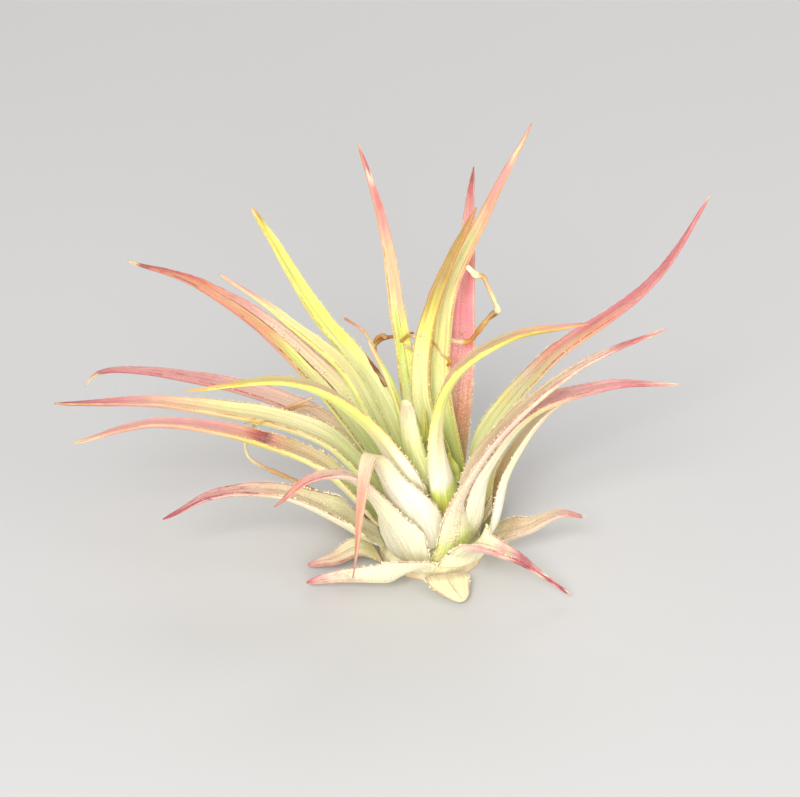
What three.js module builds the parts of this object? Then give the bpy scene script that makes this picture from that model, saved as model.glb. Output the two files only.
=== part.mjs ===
// A small silvery air plant, grown as a rosette of channelled, tapering leaves on a short
// woody stem, with a few dry threads among the leaves. It stands on the flat foot of its
// stem. Millimetres, +Z up, the origin at the middle of that foot, +X the plant's wide way.
import * as THREE from "three";
import { mergeVertices } from "three/addons/utils/BufferGeometryUtils.js";

// Driving dimensions.
const TIERS = 8; // rings of leaf seats on the stem, from the surface up to the heart
const SEAT_RADIUS = 7.6; // the lowest ring of seats
const SEAT_RADIUS_STEP = 0.86; // each ring is this much nearer the axis
const SEAT_HEIGHT = 1.4;
const SEAT_HEIGHT_STEP = 1.5;
const SEAT_GAP = 0.3; // between the stem and a leaf's root
const SHEATH_THICK = 0.85; // leaf thickness along the middle, where it hugs the stem
const BLADE_THICK = 1.1; // and where the blade is fleshiest
const EDGE_THICK = 0.6; // at the leaf's edges and tip
const TIP_WIDTH = 0.6;
const FOOT_RADIUS = 6.8;
const STEM_TOP_RADIUS = 0.5;

// Shape of every leaf, as shares of its length and angles of its channel.
const STRAIGHT_START = 2.5; // how far the midrib keeps the lean it leaves the stem with
const SHEATH_ENDS = 0.3;
const BELLY_AT = 0.18; // a swollen sheath is widest here
const BELLY_ENDS = 0.45;
const CHANNEL_HALF_ANGLE = 52;
const TIP_HALF_ANGLE = 25;
const TURN_ENDS = 0.4; // a leaf faces the way that its tip lies from here on
const THINS_FROM = 0.5;
const CHANNEL_OPENS = 0.85; // past here the channel flattens towards the tip
const ALONG = 18; // faces along a leaf
const ACROSS = 4; // faces across it
const STEM_SIDES = 24;
const THREAD_SIDES = 6;
const THREAD_ALONG = 24;
const THREAD_END_SHARE = 0.75; // of its thickness, where it ends

// The leaves, from the surface up. skin is their main colour, tier and heading (degrees:
// 0 right, 90 back, 180 left, 270 front) place the root, lean is its tilt from upright
// there, sheath and blade are widths, taper says how fast it narrows, and path lists the
// points that its midrib passes on its way to the tip, which comes last. Some leaves also
// have a fold, the half angle of their channel, a roll about the midrib, a drop below their
// ring of seats, or a belly, by which the sheath swells above its root.
const LEAVES = [
  { name: "leaf_low_left", skin: "cream", tier: 0, heading: 198, lean: 71,
    sheath: 5.6, blade: 4.8, taper: 0.6, fold: 34,
    path: [[-12.3, -4.4, 1.5], [-15.8, -4.8, 1.1]] },
  { name: "leaf_low_front_left", skin: "cream", tier: 0.3, heading: 252.6, lean: 52,
    sheath: 5.4, blade: 5.8, taper: 0.5, fold: 34, roll: 62, belly: 1.8,
    path: [[-5, -10.3, 3.1], [-10.5, -9.8, 2.4], [-15.8, -9, 1.2]] },
  { name: "leaf_low_front", skin: "cream", tier: 0.45, drop: 1.35, heading: 284, lean: 90,
    sheath: 5.6, blade: 6.6, taper: 0.45, fold: 25,
    path: [[3.7, -12.7, 0.9]] },
  { name: "leaf_low_front_right", skin: "pink", tier: -0.4, heading: 306, lean: 27.3,
    sheath: 8.8, blade: 10.4, taper: 1.7, drop: -1.9, fold: 58, roll: -8,
    path: [[6, -10.7, 7.6], [10.8, -11.2, 6.1], [17.2, -11.7, 1.2]] },
  { name: "leaf_low_right", skin: "cream", tier: 0, heading: 0, lean: 64,
    sheath: 6, blade: 6, taper: 0.8,
    path: [[12.5, -2, 4.6], [16.6, -2, 6.9], [19.6, -2, 6.6]] },
  { name: "leaf_low_back_right", skin: "cream", tier: 0, heading: 48, lean: 82,
    sheath: 5, blade: 4.8, taper: 0.7,
    path: [[8.4, 9.6, 2.6], [10, 13.5, 2]] },
  { name: "leaf_low_back", skin: "cream", tier: 0, heading: 93, lean: 82,
    sheath: 5, blade: 4.8, taper: 0.7,
    path: [[-0.5, 13, 3], [-1, 20, 3]] },
  { name: "leaf_low_back_left", skin: "cream", tier: 0, heading: 137, lean: 82,
    sheath: 5, blade: 4.8, taper: 0.7,
    path: [[-9.5, 9.5, 3], [-13, 14, 2.2]] },

  { name: "leaf_arching_left", skin: "pink", tier: 1, heading: 193, lean: 57,
    sheath: 5.4, blade: 5.8, taper: 0.75, belly: 2.4,
    path: [[-13, -4.4, 8.6], [-19, -4.7, 11.7], [-27, -4.6, 11.4], [-34, -4.5, 7.8]] },
  { name: "leaf_arching_front_left", skin: "pink", tier: 1, heading: 243, lean: 32,
    sheath: 6.2, blade: 5.8, taper: 0.8, belly: 2.6,
    path: [[-7.5, -11.4, 15.6], [-10.5, -14, 20], [-15, -17, 21.2], [-19, -20, 19.5]] },
  { name: "leaf_sheath_front_right", skin: "cream", tier: 1, heading: 292, lean: 26.5,
    sheath: 5.2, blade: 5.4, taper: 0.75,
    path: [[3.5, -10.3, 14.4], [7.3, -10.3, 22.4], [17, -8.2, 31.4], [28, -6, 36]] },
  { name: "leaf_outer_right", skin: "cream", tier: 1, heading: 353, lean: 34,
    sheath: 5.2, blade: 5.6, taper: 0.7,
    path: [[9.6, -1.3, 13], [14.2, -0.8, 21], [19.5, 0, 24.5]] },
  { name: "leaf_outer_back_right", skin: "cream", tier: 1, heading: 38, lean: 50,
    sheath: 5.2, blade: 4.8, taper: 0.7,
    path: [[8.5, 10.5, 8], [10, 14, 10]] },
  { name: "leaf_outer_back", skin: "cream", tier: 1, heading: 88, lean: 52,
    sheath: 5.2, blade: 5, taper: 0.7,
    path: [[0.5, 16, 12], [1, 27, 14]] },
  { name: "leaf_outer_back_left", skin: "cream", tier: 1, heading: 136, lean: 52,
    sheath: 5.2, blade: 5, taper: 0.7,
    path: [[-9, 11, 9], [-13, 16, 10]] },

  { name: "leaf_lower_long_left", skin: "pink", tier: 2, heading: 186, lean: 44,
    sheath: 5.2, blade: 5.6, taper: 0.7,
    path: [[-14, -2.8, 14.6], [-21.5, -2.8, 18.2], [-34, -2.5, 20.6], [-44.8, -2.5, 17.8]] },
  { name: "leaf_drooping_front", skin: "coral", tier: 2, heading: 256, lean: 24,
    sheath: 6.4, blade: 6.6, taper: 1.15, belly: 2.5,
    path: [[-4.5, -11, 16], [-7.6, -16.5, 24], [-8.5, -21.5, 21.5], [-9.5, -27, 14]] },
  { name: "leaf_red_right", skin: "pink", tier: 2, heading: 322.6, lean: 24,
    sheath: 5.6, blade: 7.6, taper: 0.85,
    path: [[7.2, -4.4, 15.6], [12.6, -4.9, 23.8], [21, -5, 27.2], [30.3, -4, 27.2]] },
  { name: "leaf_inner_back_right", skin: "cream", tier: 2, heading: 26, lean: 42,
    sheath: 4.2, blade: 4.2, taper: 0.6,
    path: [[7.8, 5.4, 8.2], [9.4, 7.6, 10]] },
  { name: "leaf_back_pink", skin: "pink", tier: 2, heading: 76, lean: 30,
    sheath: 6, blade: 6, taper: 0.7,
    path: [[3.6, 9.5, 18], [4.4, 15, 29], [4.8, 19.5, 37], [5.5, 24, 43.5]] },
  { name: "leaf_back_left_pink", skin: "pink", tier: 2, heading: 134, lean: 42,
    sheath: 5, blade: 5.4, taper: 0.7,
    path: [[-16, 9, 15.2], [-26.5, 12, 17.7], [-37, 15.5, 17.8], [-44, 17.8, 16.4], [-46, 18.5, 14]] },

  { name: "leaf_upper_long_left", skin: "yellow", tier: 3, heading: 184, lean: 34,
    sheath: 5.4, blade: 7, taper: 0.75,
    path: [[-13, 1, 15.6], [-20.5, 1.5, 18.6], [-34, 2, 20.8], [-47.5, 1.5, 21.2]] },
  { name: "leaf_long_right", skin: "coral", tier: 3, heading: 11, lean: 24,
    sheath: 5.2, blade: 5.4, taper: 0.8,
    path: [[6.7, 1.8, 15], [15, 5.6, 25], [27.6, 10.6, 33.2], [35, 14, 44]] },
  { name: "leaf_inner_back", skin: "cream", tier: 3, heading: 108, lean: 34,
    sheath: 4, blade: 3.6, taper: 0.6,
    path: [[-3.6, 9.6, 11.4], [-4.8, 13.5, 14.8]] },

  { name: "leaf_big_front_left", skin: "yellow", tier: 4, heading: 232, lean: 20,
    sheath: 6, blade: 9, taper: 1.1,
    path: [[-4.2, -8, 16.6], [-9, -10.8, 26.4], [-17, -14, 33], [-29, -18, 34.2]] },
  { name: "leaf_yellow_right", skin: "yellow", tier: 3, heading: 296, lean: 14,
    sheath: 4.8, blade: 5.6, taper: 0.6,
    path: [[0.8, -5.6, 22], [3.2, -7.4, 30.8], [9.2, -8, 35.6], [18.5, -8, 37.8]] },
  { name: "leaf_broad_coral", skin: "coral", tier: 4, heading: 152, lean: 32,
    sheath: 5, blade: 10, taper: 0.95,
    path: [[-10.4, 3.5, 17.8], [-19.8, 9, 26.3], [-30, 14, 31.6], [-39.2, 17.8, 33]] },
  { name: "leaf_tall_right", skin: "pink", tier: 4, heading: 52, lean: 20,
    sheath: 4.6, blade: 4.2, taper: 0.7,
    path: [[1.4, 5.8, 22], [2, 9.2, 31.2], [4.2, 12.2, 36.4], [7.6, 15.2, 42.8], [12.5, 18.5, 52]] },

  { name: "leaf_blunt_front", skin: "cream", tier: 5, heading: 262, lean: 18,
    sheath: 3.8, blade: 3.8, taper: 0.3,
    path: [[-2.8, -5.8, 20], [-3.2, -9.5, 28]] },
  { name: "leaf_thin_left", skin: "yellow", tier: 5, heading: 191, lean: 22,
    sheath: 3.6, blade: 5, taper: 0.8,
    path: [[-10.8, 0.8, 26], [-18.3, 3.4, 32.2], [-26.5, 6.5, 37]] },
  { name: "leaf_tall_back", skin: "pink", tier: 5, heading: 104, lean: 28,
    sheath: 3.2, blade: 3.8, taper: 0.65,
    path: [[-3, 7.2, 20.4], [-4.8, 10.2, 32.4], [-6.6, 13, 42.6], [-9.2, 15.5, 50.5]] },

  { name: "leaf_yellow_left", skin: "yellow", tier: 6, heading: 148, lean: 22,
    sheath: 3.4, blade: 4.8, taper: 0.5,
    path: [[-8, 5.6, 22.4], [-14.6, 9.6, 29.6], [-22.8, 15.4, 42]] },
  { name: "leaf_olive_right", skin: "yellow", tier: 6, heading: 60, lean: 14,
    sheath: 3.2, blade: 3.8, taper: 0.6,
    path: [[-1.2, 3, 22], [0, 6.5, 32], [5.5, 11, 44]] },
  { name: "leaf_heart_left", skin: "cream", tier: 6, heading: 226, lean: 14,
    sheath: 2.6, blade: 2.6, taper: 0.6,
    path: [[-4.4, -0.6, 23], [-7.9, 0, 31]] },
  { name: "leaf_heart_right", skin: "cream", tier: 6, heading: 346, lean: 6,
    sheath: 2.8, blade: 2.6, taper: 0.6,
    path: [[2.3, -0.3, 13.6], [2.1, -0.2, 15]] },
  { name: "leaf_heart_back", skin: "cream", tier: 7, heading: 120, lean: 6,
    sheath: 1.6, blade: 1.8, taper: 0.6,
    path: [[-0.8, 1, 17], [-1, 1.4, 20.4]] },
  { name: "leaf_heart_front", skin: "cream", tier: 7, heading: 282, lean: 8,
    sheath: 1.8, blade: 2, taper: 0.6,
    path: [[0.2, -1.9, 16.6], [0.2, -2.6, 20.4]] },
];

// Dry threads: a withered stalk in two lengths, caught in the heart among the leaves, and a
// bare root that hooks back under the left leaves. Each runs through its points.
const THREADS = [
  { name: "dry_thread_left", thick: 0.8,
    path: [
      [-11, 5.6, 31.2], [-9.1, 6.4, 29.4], [-7.9, 7.6, 27.2], [-7.3, 9, 25.4],
      [-6.4, 10.8, 25.4], [-4.3, 10.8, 25.8], [-2.2, 9.4, 26.9],
    ] },
  { name: "dry_thread_right", thick: 0.8,
    path: [
      [1.85, 8.2, 27.1], [3, 8.9, 26.1], [4.8, 9.2, 25.9], [5.4, 9.1, 26.6],
      [6.6, 8.8, 28.6], [7.6, 8.6, 30], [8.3, 8.4, 30.8], [7.9, 8.2, 32.2], [7, 8.1, 34.5],
      [6.4, 8, 35.8], [5.6, 8, 36], [4.3, 9, 36.8],
    ] },
  { name: "bare_root", thick: 0.8,
    path: [
      [-6.1, 2.1, 2.8], [-7.2, 2.4, 3.2], [-12, 2.6, 5.6], [-18.2, 3, 9.2],
      [-21.8, 4.2, 10.3], [-23.6, 5.4, 11.1], [-24, 6.6, 12.6], [-22.8, 6.8, 14.8],
      [-20.4, 6.4, 16.8], [-17.6, 6.2, 18.2], [-15, 6.4, 19.3],
    ] },
];

const SKINS = { cream: 0xdcd6ae, pink: 0xd9998c, coral: 0xdb8a6c, yellow: 0xcfc966 };
const WOOD = 0x7a5a3a;
const DRY = 0xb07c40;

const radians = THREE.MathUtils.degToRad;
const smooth = (x, low, high) => THREE.MathUtils.smoothstep(x, low, high);
const mix = THREE.MathUtils.lerp;

function finish(colour) {
  return new THREE.MeshStandardMaterial({ color: colour, roughness: 0.7, metalness: 0 });
}

// A closed body through rings of points that all run the same way round.
function loft(rings) {
  const sides = rings[0].length;
  const position = rings.flat().flatMap((p) => [p.x, p.y, p.z]);
  const index = [];
  for (let i = 0; i + 1 < rings.length; i++) {
    for (let j = 0; j < sides; j++) {
      const a = i * sides + j;
      const b = i * sides + ((j + 1) % sides);
      // The diagonals mirror each other on a leaf's two faces, so thin faces never cross.
      if (j < sides / 2) index.push(a, b + sides, b, a, a + sides, b + sides);
      else index.push(a, a + sides, b, b, a + sides, b + sides);
    }
  }
  const last = (rings.length - 1) * sides;
  for (let j = 1; j < sides / 2; j++) {
    const [a, b, c, d] = [j - 1, j, sides - 1 - j, sides - j];
    index.push(a, b, d, b, c, d);
    index.push(last + a, last + d, last + b, last + b, last + d, last + c);
  }
  const geometry = new THREE.BufferGeometry();
  geometry.setAttribute("position", new THREE.Float32BufferAttribute(position, 3));
  geometry.setIndex(index);
  geometry.computeVertexNormals();
  return geometry;
}

const seatRadius = (tier) => SEAT_RADIUS - SEAT_RADIUS_STEP * tier;
const seatHeight = (tier) => SEAT_HEIGHT + SEAT_HEIGHT_STEP * tier;

// The midrib: a smooth curve that leaves the stem along the leaf's lean and runs through
// the points of the table to the tip.
function midrib(leaf) {
  const heading = radians(leaf.heading);
  const lean = radians(leaf.lean);
  const outward = new THREE.Vector3(Math.cos(heading), Math.sin(heading), 0);
  const root = outward.clone().multiplyScalar(seatRadius(leaf.tier));
  root.z = seatHeight(leaf.tier) - (leaf.drop ?? 0);
  const leaving = outward.clone().multiplyScalar(Math.sin(lean)).setZ(Math.cos(lean));
  const start = root.clone().addScaledVector(leaving, STRAIGHT_START);
  const points = leaf.path.map((p) => new THREE.Vector3(...p));
  return new THREE.CatmullRomCurve3([root, start, ...points], false, "centripetal");
}

// A channelled leaf: its section is an arc that wraps the stem at the root, and folds into
// a gutter along the blade.
function leafGeometry(leaf) {
  const curve = midrib(leaf);
  const tip = leaf.path[leaf.path.length - 1];
  const from = radians(leaf.heading);
  const to = Math.atan2(tip[1] - curve.points[0].y, tip[0] - curve.points[0].x);
  const turn = Math.atan2(Math.sin(to - from), Math.cos(to - from));
  const wrapRadius = seatRadius(leaf.tier) / Math.cos(radians(Math.min(leaf.lean, 60)));
  const wrapAngle = Math.min(leaf.sheath / 2 / wrapRadius, radians(CHANNEL_HALF_ANGLE));
  const rings = [];
  for (let i = 0; i <= ALONG; i++) {
    const t = i / ALONG;
    const centre = curve.getPointAt(t);
    const tangent = curve.getTangentAt(t);
    const heading = from + turn * smooth(t, 0, TURN_ENDS);
    const across = new THREE.Vector3(-Math.sin(heading), Math.cos(heading), 0);
    across.addScaledVector(tangent, -across.dot(tangent)).normalize();
    across.applyAxisAngle(tangent, radians(leaf.roll ?? 0) * smooth(t, 0, TURN_ENDS));
    const inward = tangent.clone().cross(across);
    const flare = (leaf.sheath - leaf.blade) * (1 - smooth(t, 0, SHEATH_ENDS));
    const belly = (leaf.belly ?? 0) * smooth(t, 0, BELLY_AT) * (1 - smooth(t, BELLY_AT, BELLY_ENDS));
    const width = Math.max(TIP_WIDTH, leaf.blade * Math.pow(1 - t, leaf.taper) + flare + belly);
    const channel = mix(wrapAngle, radians(leaf.fold ?? CHANNEL_HALF_ANGLE), smooth(t, 0, SHEATH_ENDS));
    const halfAngle = mix(channel, radians(TIP_HALF_ANGLE), smooth(t, CHANNEL_OPENS, 1));
    const radius = width / 2 / halfAngle;
    const fleshy = mix(SHEATH_THICK, BLADE_THICK, smooth(t, 0, SHEATH_ENDS));
    const middle = mix(fleshy, EDGE_THICK, smooth(t, THINS_FROM, 1));
    const at = (angle, r) =>
      centre
        .clone()
        .addScaledVector(inward, radius - r * Math.cos(angle))
        .addScaledVector(across, r * Math.sin(angle));
    const faceIn = [];
    const faceOut = [];
    for (let j = 0; j <= ACROSS; j++) {
      const share = (2 * j) / ACROSS - 1;
      const thick = mix(middle, EDGE_THICK, share * share);
      faceIn.push(at(halfAngle * share, radius - thick / 2));
      faceOut.push(at(halfAngle * share, radius + thick / 2));
    }
    rings.push([...faceIn, ...faceOut.reverse()]);
  }
  return loft(rings);
}

// The woody stem: a stub with a flat foot, narrowing past the seats of the leaves.
function stemGeometry() {
  const topTier = TIERS - 1;
  const clear = SHEATH_THICK / 2 + SEAT_GAP;
  const profile = [
    [0, 0],
    [FOOT_RADIUS, 0],
    [seatRadius(0) - clear, SEAT_HEIGHT],
    [seatRadius(topTier) - clear, seatHeight(topTier)],
    [STEM_TOP_RADIUS, seatHeight(topTier) + SEAT_HEIGHT_STEP],
    [0, seatHeight(topTier) + SEAT_HEIGHT_STEP],
  ];
  const turned = new THREE.LatheGeometry(profile.map(([r, z]) => new THREE.Vector2(r, z)), STEM_SIDES);
  turned.rotateX(Math.PI / 2);
  turned.deleteAttribute("normal");
  turned.deleteAttribute("uv");
  return mergeVertices(turned, 1e-4);
}

// A thread: a six-sided tube along its path, thinner at its end.
function threadGeometry(thread) {
  const curve = new THREE.CatmullRomCurve3(thread.path.map((p) => new THREE.Vector3(...p)));
  const frames = curve.computeFrenetFrames(THREAD_ALONG);
  const rings = [];
  for (let i = 0; i <= THREAD_ALONG; i++) {
    const centre = curve.getPointAt(i / THREAD_ALONG);
    const radius = (thread.thick / 2) * mix(1, THREAD_END_SHARE, i / THREAD_ALONG);
    const ring = [];
    for (let j = 0; j < THREAD_SIDES; j++) {
      const angle = (-2 * Math.PI * j) / THREAD_SIDES;
      ring.push(
        centre
          .clone()
          .addScaledVector(frames.normals[i], radius * Math.cos(angle))
          .addScaledVector(frames.binormals[i], radius * Math.sin(angle)),
      );
    }
    rings.push(ring);
  }
  return loft(rings);
}

function add(group, name, geometry, colour) {
  const mesh = new THREE.Mesh(geometry, finish(colour));
  mesh.name = name;
  group.add(mesh);
}

const plant = new THREE.Group();
add(plant, "stem", stemGeometry(), WOOD);
for (const leaf of LEAVES) add(plant, leaf.name, leafGeometry(leaf), SKINS[leaf.skin]);
for (const thread of THREADS) add(plant, thread.name, threadGeometry(thread), DRY);

export default plant;
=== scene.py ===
"""Looks of a small silvery air plant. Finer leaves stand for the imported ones, with their
scurf of pale scales, the dry threads among them, and the woody stem that they wrap.
Metres and +Z up. The leaf and thread tables are in millimetres, as the leaves were drawn."""
import math

import bpy
import numpy as np
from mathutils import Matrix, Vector


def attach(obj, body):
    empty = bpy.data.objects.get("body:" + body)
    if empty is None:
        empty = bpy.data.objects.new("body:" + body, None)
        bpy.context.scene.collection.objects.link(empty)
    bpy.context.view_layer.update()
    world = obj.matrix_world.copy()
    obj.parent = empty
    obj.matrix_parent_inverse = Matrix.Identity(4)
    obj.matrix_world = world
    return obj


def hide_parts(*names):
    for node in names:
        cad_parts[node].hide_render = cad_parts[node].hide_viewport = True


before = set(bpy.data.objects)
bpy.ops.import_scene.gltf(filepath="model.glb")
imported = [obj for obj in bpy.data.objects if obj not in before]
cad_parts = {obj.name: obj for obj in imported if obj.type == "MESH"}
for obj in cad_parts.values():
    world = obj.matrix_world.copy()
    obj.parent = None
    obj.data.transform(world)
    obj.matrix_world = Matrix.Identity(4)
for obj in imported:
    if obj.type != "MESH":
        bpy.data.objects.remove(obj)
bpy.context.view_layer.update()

scene = bpy.context.scene
MM = 0.001
TURN = 2 * math.pi

# ---- how the leaves are drawn

# Lengths are in millimetres, and places along a leaf are shares of its length.
SEAT_RADIUS, SEAT_RADIUS_STEP = 7.6, 0.86
SEAT_HEIGHT, SEAT_HEIGHT_STEP = 1.4, 1.5
STRAIGHT_START = 2.5
SHEATH_ENDS = 0.3
FACING_ENDS = 0.4
BELLY_AT, BELLY_ENDS = 0.18, 0.45
CHANNEL_FOLD, TIP_FOLD = 52, 25  # half angles, in degrees
STEEPEST_WRAP = 60  # degrees
CHANNEL_OPENS = 0.85
SHEATH_THICK, BLADE_THICK, TIP_THICK, EDGE_THICK = 0.85, 1.05, 0.5, 0.3
BLADE_THINS, TIP_THINS, TIP_THINNING = 0.5, 0.96, 0.35
TIP_WIDTH = 0.16
RAGGED_EDGE, RAGGED_SHARE = 0.05, 0.03  # at most, and as a share of the width
ROWS = 112  # faces along a leaf
COLUMNS = 14  # faces across one side of it
SPAN_STEPS = 80  # places on a curve between two of its points

# A grown leaf isn't ruled: it sways and ripples sideways, lifts, and its width comes and goes.
# Each is how far it goes, the last by a share of the width, and how long its wave is.
WAVES = {"sway": (0.05, 13), "ripple": (0.02, 5.3), "lift": (0.05, 16), "swell": (0.02, 7)}
WAVES_START, WAVES_FULL = 0.2, 0.45

# name: tier, heading, lean, sheath width, blade width, taper, the midrib's path, and what
# only some leaves have: fold (half angle of the channel), roll, drop of the root, and
# belly (how much wider the sheath swells above its root).
LEAVES = {
    "low_left": (0, 198, 71, 5.6, 4.8, 0.6, [(-12.3, -4.4, 1.5), (-15.8, -4.8, 1.1)], {"fold": 34}),
    "low_front_left": (0.3, 252.6, 52, 5.4, 5.8, 0.5, [(-5, -10.3, 3.1), (-10.5, -9.8, 2.4),
        (-15.8, -9, 1.2)], {"fold": 34, "roll": 62, "belly": 1.8}),
    "low_front": (0.45, 284, 90, 5.6, 6.6, 0.45, [(3.7, -12.7, 0.9)], {"fold": 25, "drop": 1.35}),
    "low_front_right": (-0.4, 306, 27.3, 8.8, 10.4, 1.7, [(6, -10.7, 7.6), (10.8, -11.2, 6.1),
        (17.2, -11.7, 1.2)], {"fold": 58, "roll": -8, "drop": -1.9}),
    "low_right": (0, 0, 64, 6, 6, 0.8, [(12.5, -2, 4.6), (16.6, -2, 6.9), (19.6, -2, 6.6)]),
    "low_back_right": (0, 48, 82, 5, 4.8, 0.7, [(8.4, 9.6, 2.6), (10, 13.5, 2)]),
    "low_back": (0, 93, 82, 5, 4.8, 0.7, [(-0.5, 13, 3), (-1, 20, 3)]),
    "low_back_left": (0, 137, 82, 5, 4.8, 0.7, [(-9.5, 9.5, 3), (-13, 14, 2.2)]),
    "arching_left": (1, 193, 57, 5.4, 5.8, 0.75, [(-13, -4.4, 8.6), (-19, -4.7, 11.7), (-27, -4.6, 11.4),
        (-34, -4.5, 7.8)], {"belly": 2.4}),
    "arching_front_left": (1, 243, 32, 6.2, 5.8, 0.8, [(-7.5, -11.4, 15.6), (-10.5, -14, 20),
        (-15, -17, 21.2), (-19, -20, 19.5)], {"belly": 2.6}),
    "sheath_front_right": (1, 292, 26.5, 5.2, 5.4, 0.75, [(3.5, -10.3, 14.4), (7.3, -10.3, 22.4),
        (17, -8.2, 31.4), (28, -6, 36)]),
    "outer_right": (1, 353, 34, 5.2, 5.6, 0.7, [(9.6, -1.3, 13), (14.2, -0.8, 21), (19.5, 0, 24.5)]),
    "outer_back_right": (1, 38, 50, 5.2, 4.8, 0.7, [(8.5, 10.5, 8), (10, 14, 10)]),
    "outer_back": (1, 88, 52, 5.2, 5, 0.7, [(0.5, 16, 12), (1, 27, 14)]),
    "outer_back_left": (1, 136, 52, 5.2, 5, 0.7, [(-9, 11, 9), (-13, 16, 10)]),
    "lower_long_left": (2, 186, 44, 5.2, 5.6, 0.7, [(-14, -2.8, 14.6), (-21.5, -2.8, 18.2), (-34, -2.5, 20.6),
        (-44.8, -2.5, 17.8)]),
    "drooping_front": (2, 256, 24, 6.4, 6.6, 1.15, [(-4.5, -11, 16), (-7.6, -16.5, 24), (-8.5, -21.5, 21.5),
        (-9.5, -27, 14)], {"belly": 2.5}),
    "red_right": (2, 322.6, 24, 5.6, 7.6, 0.85, [(7.2, -4.4, 15.6), (12.6, -4.9, 23.8), (21, -5, 27.2),
        (30.3, -4, 27.2)]),
    "inner_back_right": (2, 26, 42, 4.2, 4.2, 0.6, [(7.8, 5.4, 8.2), (9.4, 7.6, 10)]),
    "back_pink": (2, 76, 30, 6, 6, 0.7, [(3.6, 9.5, 18), (4.4, 15, 29), (4.8, 19.5, 37), (5.5, 24, 43.5)]),
    "back_left_pink": (2, 134, 42, 5, 5.4, 0.7, [(-16, 9, 15.2), (-26.5, 12, 17.7), (-37, 15.5, 17.8),
        (-44, 17.8, 16.4), (-46, 18.5, 14)]),
    "upper_long_left": (3, 184, 34, 5.4, 7, 0.75, [(-13, 1, 15.6), (-20.5, 1.5, 18.6), (-34, 2, 20.8),
        (-47.5, 1.5, 21.2)]),
    "long_right": (3, 11, 24, 5.2, 5.4, 0.8, [(6.7, 1.8, 15), (15, 5.6, 25), (27.6, 10.6, 33.2),
        (35, 14, 44)]),
    "inner_back": (3, 108, 34, 4, 3.6, 0.6, [(-3.6, 9.6, 11.4), (-4.8, 13.5, 14.8)]),
    "big_front_left": (4, 232, 20, 6, 9, 1.1, [(-4.2, -8, 16.6), (-9, -10.8, 26.4), (-17, -14, 33),
        (-29, -18, 34.2)]),
    "yellow_right": (3, 296, 14, 4.8, 5.6, 0.6, [(0.8, -5.6, 22), (3.2, -7.4, 30.8), (9.2, -8, 35.6),
        (18.5, -8, 37.8)]),
    "broad_coral": (4, 152, 32, 5, 10, 0.95, [(-10.4, 3.5, 17.8), (-19.8, 9, 26.3), (-30, 14, 31.6),
        (-39.2, 17.8, 33)]),
    "tall_right": (4, 52, 20, 4.6, 4.2, 0.7, [(1.4, 5.8, 22), (2, 9.2, 31.2), (4.2, 12.2, 36.4),
        (7.6, 15.2, 42.8), (12.5, 18.5, 52)]),
    "blunt_front": (5, 262, 18, 3.8, 3.8, 0.3, [(-2.8, -5.8, 20), (-3.2, -9.5, 28)]),
    "thin_left": (5, 191, 22, 3.6, 5, 0.8, [(-10.8, 0.8, 26), (-18.3, 3.4, 32.2), (-26.5, 6.5, 37)]),
    "tall_back": (5, 104, 28, 3.2, 3.8, 0.65, [(-3, 7.2, 20.4), (-4.8, 10.2, 32.4), (-6.6, 13, 42.6),
        (-9.2, 15.5, 50.5)]),
    "yellow_left": (6, 148, 22, 3.4, 4.8, 0.5, [(-8, 5.6, 22.4), (-14.6, 9.6, 29.6), (-22.8, 15.4, 42)]),
    "olive_right": (6, 60, 14, 3.2, 3.8, 0.6, [(-1.2, 3, 22), (0, 6.5, 32), (5.5, 11, 44)]),
    "heart_left": (6, 226, 14, 2.6, 2.6, 0.6, [(-4.4, -0.6, 23), (-7.9, 0, 31)]),
    "heart_right": (6, 346, 6, 2.8, 2.6, 0.6, [(2.3, -0.3, 13.6), (2.1, -0.2, 15)]),
    "heart_back": (7, 120, 6, 1.6, 1.8, 0.6, [(-0.8, 1, 17), (-1, 1.4, 20.4)]),
    "heart_front": (7, 282, 8, 1.8, 2, 0.6, [(0.2, -1.9, 16.6), (0.2, -2.6, 20.4)]),
}

# ---- colours of the living plant

HUES = {
    "white": "fbf8e2", "cream": "f2edc2", "straw": "ebe29a", "lime": "d3e074", "green": "bacc62",
    "olive": "98a048", "lemon": "e4ea76", "gold": "dacc54", "ochre": "c4923e", "tan": "ceb084",
    "beige": "e4ccac", "peach": "eabf96", "apricot": "e4a470", "salmon": "e09880", "coral": "d88264",
    "rose": "da9592", "pink": "d0767e", "crimson": "b84c5c", "red": "b94240", "wine": "8a3040",
    "maroon": "641c2a", "brown": "744428", "mauve": "c8a496", "sienna": "b87c44", "russet": "a4564a",
    "blush": "f2aaa2", "bronze": "b09a4c", "fawn": "e8c3b0", "dust": "b4846c", "candy": "f78f9c",
    "brass": "c8b850", "mist": "e6eaac", "khaki": "ac8c46",
}

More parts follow.
